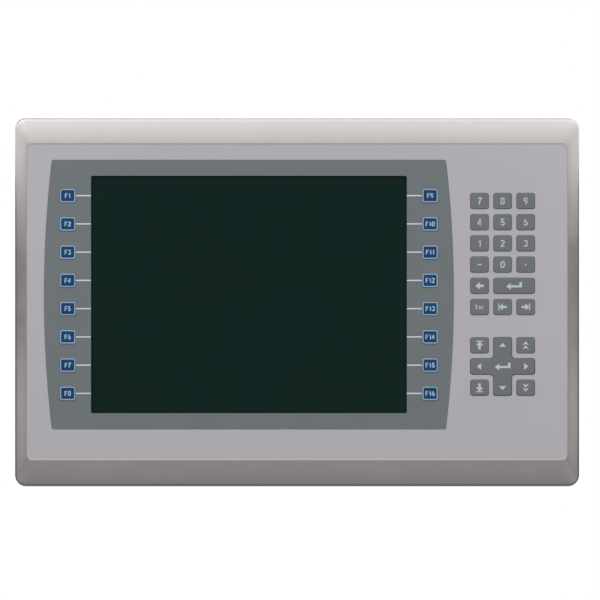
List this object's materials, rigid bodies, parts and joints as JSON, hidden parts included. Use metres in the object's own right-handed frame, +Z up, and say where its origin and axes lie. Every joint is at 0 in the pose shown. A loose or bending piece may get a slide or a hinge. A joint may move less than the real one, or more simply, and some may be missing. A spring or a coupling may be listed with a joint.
{
  "type": "hmi touch panel",
  "caption": "Panel-mounted operator terminal with a touch screen, function keys, a number pad and a cursor pad, a sealed bezel, and cam levers and ports behind.",
  "frame": {"origin": "centre of the bezel in the plane of the gasket's rear face, which seats on the front of the control panel", "axes": "+X to the operator's right, +Y backwards into the cabinet, +Z up"},
  "size_m": [0.3804, 0.0733, 0.2486],
  "materials": {
    "bezel_paint": "die-cast, painted warm metallic grey, satin",
    "faceplate_plastic": "light warm grey overlay, fine matte texture",
    "surround_plastic": "mid grey, fine matte texture",
    "screen_glass": "dark green-black antiglare touch surface",
    "lcd_frame": "satin",
    "silicone": "matte moulded silicone",
    "circuit_board": "satin solder mask",
    "gasket_rubber": "matte closed-cell foam",
    "housing_sheet": "plain sheet, fine grain",
    "module_plastic": "fine moulded texture",
    "connector_metal": "tin plated",
    "screw_steel": "zinc plated",
    "plug_plastic": "moulded",
    "black_plastic": "moulded",
    "lever_plastic": "glass-filled, satin",
    "key_blue": "dark blue with a light blue raised edge",
    "key_grey": "mid grey, fine matte texture"
  },
  "bodies": {
    "chassis": {"front_bezel": "bezel_paint", "faceplate": "faceplate_plastic", "display_surround": "surround_plastic", "touch_screen": "screen_glass", "lcd_panel": "lcd_frame", "key_mats": "silicone", "key_boards": "circuit_board", "panel_gasket": "gasket_rubber", "rear_housing": "housing_sheet", "logic_housing": "module_plastic", "main_board": "circuit_board", "io_connectors": "connector_metal", "screws": "screw_steel"},
    "lever_top_left_body": {"lever_top_left": "lever_plastic"},
    "lever_top_right_body": {"lever_top_right": "lever_plastic"},
    "lever_bottom_left_body": {"lever_bottom_left": "lever_plastic"},
    "lever_bottom_right_body": {"lever_bottom_right": "lever_plastic"},
    "cursor_post_body": {"cursor_post": "black_plastic"},
    "cursor_gimbal_body": {"cursor_gimbal": "screw_steel"},
    "cursor_pad_body": {"cursor_pad": "key_grey"},
    "card_door_body": {"card_door": "module_plastic"},
    "power_plug_body": {"power_plug": "plug_plastic"},
    "reset_button_body": {"reset_button": "black_plastic"},
    "function_key_01_body": {"function_key_01": "key_blue"},
    "function_key_02_body": {"function_key_02": "key_blue"},
    "function_key_03_body": {"function_key_03": "key_blue"},
    "function_key_04_body": {"function_key_04": "key_blue"},
    "function_key_05_body": {"function_key_05": "key_blue"},
    "function_key_06_body": {"function_key_06": "key_blue"},
    "function_key_07_body": {"function_key_07": "key_blue"},
    "function_key_08_body": {"function_key_08": "key_blue"},
    "function_key_09_body": {"function_key_09": "key_blue"},
    "function_key_10_body": {"function_key_10": "key_blue"},
    "function_key_11_body": {"function_key_11": "key_blue"},
    "function_key_12_body": {"function_key_12": "key_blue"},
    "function_key_13_body": {"function_key_13": "key_blue"},
    "function_key_14_body": {"function_key_14": "key_blue"},
    "function_key_15_body": {"function_key_15": "key_blue"},
    "function_key_16_body": {"function_key_16": "key_blue"},
    "key_7_body": {"key_7": "key_grey"},
    "key_8_body": {"key_8": "key_grey"},
    "key_9_body": {"key_9": "key_grey"},
    "key_4_body": {"key_4": "key_grey"},
    "key_5_body": {"key_5": "key_grey"},
    "key_6_body": {"key_6": "key_grey"},
    "key_1_body": {"key_1": "key_grey"},
    "key_2_body": {"key_2": "key_grey"},
    "key_3_body": {"key_3": "key_grey"},
    "key_minus_body": {"key_minus": "key_grey"},
    "key_0_body": {"key_0": "key_grey"},
    "key_point_body": {"key_point": "key_grey"},
    "key_backspace_body": {"key_backspace": "key_grey"},
    "key_enter_body": {"key_enter": "key_grey"},
    "key_escape_body": {"key_escape": "key_grey"},
    "key_tab_back_body": {"key_tab_back": "key_grey"},
    "key_tab_forward_body": {"key_tab_forward": "key_grey"},
    "key_home_body": {"key_home": "key_grey"},
    "key_page_up_body": {"key_page_up": "key_grey"},
    "key_end_body": {"key_end": "key_grey"},
    "key_page_down_body": {"key_page_down": "key_grey"}
  },
  "joints": [
    {"name": "lever_top_left_turn", "type": "hinge", "parent": "chassis", "child": "lever_top_left_body", "pos_m": [-0.105, 0.016, 0.113], "axis": [0, 0, 1], "range_deg": [0, 90]},
    {"name": "lever_top_right_turn", "type": "hinge", "parent": "chassis", "child": "lever_top_right_body", "pos_m": [0.105, 0.016, 0.113], "axis": [0, 0, -1], "range_deg": [0, 90]},
    {"name": "lever_bottom_left_turn", "type": "hinge", "parent": "chassis", "child": "lever_bottom_left_body", "pos_m": [-0.105, 0.016, -0.113], "axis": [0, 0, 1], "range_deg": [0, 90]},
    {"name": "lever_bottom_right_turn", "type": "hinge", "parent": "chassis", "child": "lever_bottom_right_body", "pos_m": [0.105, 0.016, -0.113], "axis": [0, 0, -1], "range_deg": [0, 90]},
    {"name": "cursor_press", "type": "slide", "parent": "chassis", "child": "cursor_post_body", "axis": [0, 1, 0], "range_m": [0, 0.0007], "stiffness_N_per_m": 800},
    {"name": "cursor_tilt_side", "type": "hinge", "parent": "cursor_post_body", "child": "cursor_gimbal_body", "pos_m": [0.1386, -0.0049, -0.0434], "axis": [0, 0, 1], "range_deg": [-1.8, 1.8], "stiffness_Nm_per_rad": 0.3},
    {"name": "cursor_tilt_up", "type": "hinge", "parent": "cursor_gimbal_body", "child": "cursor_pad_body", "pos_m": [0.1386, -0.0049, -0.0434], "axis": [1, 0, 0], "range_deg": [-1.8, 1.8], "stiffness_Nm_per_rad": 0.3},
    {"name": "card_door_turn", "type": "hinge", "parent": "chassis", "child": "card_door_body", "pos_m": [0.0968, 0.056, 0.004], "axis": [0, 0, 1], "range_deg": [0, 100]},
    {"name": "power_plug_pull", "type": "slide", "parent": "chassis", "child": "power_plug_body", "axis": [0, 0, -1], "range_m": [0, 0.012]},
    {"name": "reset_button_press", "type": "slide", "parent": "chassis", "child": "reset_button_body", "axis": [0, 0, 1], "range_m": [0, 0.0006], "stiffness_N_per_m": 400},
    {"name": "function_key_01_press", "type": "slide", "parent": "chassis", "child": "function_key_01_body", "axis": [0, 1, 0], "range_m": [0, 0.0007], "stiffness_N_per_m": 800},
    {"name": "function_key_02_press", "type": "slide", "parent": "chassis", "child": "function_key_02_body", "axis": [0, 1, 0], "range_m": [0, 0.0007], "stiffness_N_per_m": 800},
    {"name": "function_key_03_press", "type": "slide", "parent": "chassis", "child": "function_key_03_body", "axis": [0, 1, 0], "range_m": [0, 0.0007], "stiffness_N_per_m": 800},
    {"name": "function_key_04_press", "type": "slide", "parent": "chassis", "child": "function_key_04_body", "axis": [0, 1, 0], "range_m": [0, 0.0007], "stiffness_N_per_m": 800},
    {"name": "function_key_05_press", "type": "slide", "parent": "chassis", "child": "function_key_05_body", "axis": [0, 1, 0], "range_m": [0, 0.0007], "stiffness_N_per_m": 800},
    {"name": "function_key_06_press", "type": "slide", "parent": "chassis", "child": "function_key_06_body", "axis": [0, 1, 0], "range_m": [0, 0.0007], "stiffness_N_per_m": 800},
    {"name": "function_key_07_press", "type": "slide", "parent": "chassis", "child": "function_key_07_body", "axis": [0, 1, 0], "range_m": [0, 0.0007], "stiffness_N_per_m": 800},
    {"name": "function_key_08_press", "type": "slide", "parent": "chassis", "child": "function_key_08_body", "axis": [0, 1, 0], "range_m": [0, 0.0007], "stiffness_N_per_m": 800},
    {"name": "function_key_09_press", "type": "slide", "parent": "chassis", "child": "function_key_09_body", "axis": [0, 1, 0], "range_m": [0, 0.0007], "stiffness_N_per_m": 800},
    {"name": "function_key_10_press", "type": "slide", "parent": "chassis", "child": "function_key_10_body", "axis": [0, 1, 0], "range_m": [0, 0.0007], "stiffness_N_per_m": 800},
    {"name": "function_key_11_press", "type": "slide", "parent": "chassis", "child": "function_key_11_body", "axis": [0, 1, 0], "range_m": [0, 0.0007], "stiffness_N_per_m": 800},
    {"name": "function_key_12_press", "type": "slide", "parent": "chassis", "child": "function_key_12_body", "axis": [0, 1, 0], "range_m": [0, 0.0007], "stiffness_N_per_m": 800},
    {"name": "function_key_13_press", "type": "slide", "parent": "chassis", "child": "function_key_13_body", "axis": [0, 1, 0], "range_m": [0, 0.0007], "stiffness_N_per_m": 800},
    {"name": "function_key_14_press", "type": "slide", "parent": "chassis", "child": "function_key_14_body", "axis": [0, 1, 0], "range_m": [0, 0.0007], "stiffness_N_per_m": 800},
    {"name": "function_key_15_press", "type": "slide", "parent": "chassis", "child": "function_key_15_body", "axis": [0, 1, 0], "range_m": [0, 0.0007], "stiffness_N_per_m": 800},
    {"name": "function_key_16_press", "type": "slide", "parent": "chassis", "child": "function_key_16_body", "axis": [0, 1, 0], "range_m": [0, 0.0007], "stiffness_N_per_m": 800},
    {"name": "key_7_press", "type": "slide", "parent": "chassis", "child": "key_7_body", "axis": [0, 1, 0], "range_m": [0, 0.0007], "stiffness_N_per_m": 800},
    {"name": "key_8_press", "type": "slide", "parent": "chassis", "child": "key_8_body", "axis": [0, 1, 0], "range_m": [0, 0.0007], "stiffness_N_per_m": 800},
    {"name": "key_9_press", "type": "slide", "parent": "chassis", "child": "key_9_body", "axis": [0, 1, 0], "range_m": [0, 0.0007], "stiffness_N_per_m": 800},
    {"name": "key_4_press", "type": "slide", "parent": "chassis", "child": "key_4_body", "axis": [0, 1, 0], "range_m": [0, 0.0007], "stiffness_N_per_m": 800},
    {"name": "key_5_press", "type": "slide", "parent": "chassis", "child": "key_5_body", "axis": [0, 1, 0], "range_m": [0, 0.0007], "stiffness_N_per_m": 800},
    {"name": "key_6_press", "type": "slide", "parent": "chassis", "child": "key_6_body", "axis": [0, 1, 0], "range_m": [0, 0.0007], "stiffness_N_per_m": 800},
    {"name": "key_1_press", "type": "slide", "parent": "chassis", "child": "key_1_body", "axis": [0, 1, 0], "range_m": [0, 0.0007], "stiffness_N_per_m": 800},
    {"name": "key_2_press", "type": "slide", "parent": "chassis", "child": "key_2_body", "axis": [0, 1, 0], "range_m": [0, 0.0007], "stiffness_N_per_m": 800},
    {"name": "key_3_press", "type": "slide", "parent": "chassis", "child": "key_3_body", "axis": [0, 1, 0], "range_m": [0, 0.0007], "stiffness_N_per_m": 800},
    {"name": "key_minus_press", "type": "slide", "parent": "chassis", "child": "key_minus_body", "axis": [0, 1, 0], "range_m": [0, 0.0007], "stiffness_N_per_m": 800},
    {"name": "key_0_press", "type": "slide", "parent": "chassis", "child": "key_0_body", "axis": [0, 1, 0], "range_m": [0, 0.0007], "stiffness_N_per_m": 800},
    {"name": "key_point_press", "type": "slide", "parent": "chassis", "child": "key_point_body", "axis": [0, 1, 0], "range_m": [0, 0.0007], "stiffness_N_per_m": 800},
    {"name": "key_backspace_press", "type": "slide", "parent": "chassis", "child": "key_backspace_body", "axis": [0, 1, 0], "range_m": [0, 0.0007], "stiffness_N_per_m": 800},
    {"name": "key_enter_press", "type": "slide", "parent": "chassis", "child": "key_enter_body", "axis": [0, 1, 0], "range_m": [0, 0.0007], "stiffness_N_per_m": 800},
    {"name": "key_escape_press", "type": "slide", "parent": "chassis", "child": "key_escape_body", "axis": [0, 1, 0], "range_m": [0, 0.0007], "stiffness_N_per_m": 800},
    {"name": "key_tab_back_press", "type": "slide", "parent": "chassis", "child": "key_tab_back_body", "axis": [0, 1, 0], "range_m": [0, 0.0007], "stiffness_N_per_m": 800},
    {"name": "key_tab_forward_press", "type": "slide", "parent": "chassis", "child": "key_tab_forward_body", "axis": [0, 1, 0], "range_m": [0, 0.0007], "stiffness_N_per_m": 800},
    {"name": "key_home_press", "type": "slide", "parent": "chassis", "child": "key_home_body", "axis": [0, 1, 0], "range_m": [0, 0.0007], "stiffness_N_per_m": 800},
    {"name": "key_page_up_press", "type": "slide", "parent": "chassis", "child": "key_page_up_body", "axis": [0, 1, 0], "range_m": [0, 0.0007], "stiffness_N_per_m": 800},
    {"name": "key_end_press", "type": "slide", "parent": "chassis", "child": "key_end_body", "axis": [0, 1, 0], "range_m": [0, 0.0007], "stiffness_N_per_m": 800},
    {"name": "key_page_down_press", "type": "slide", "parent": "chassis", "child": "key_page_down_body", "axis": [0, 1, 0], "range_m": [0, 0.0007], "stiffness_N_per_m": 800}
  ]
}
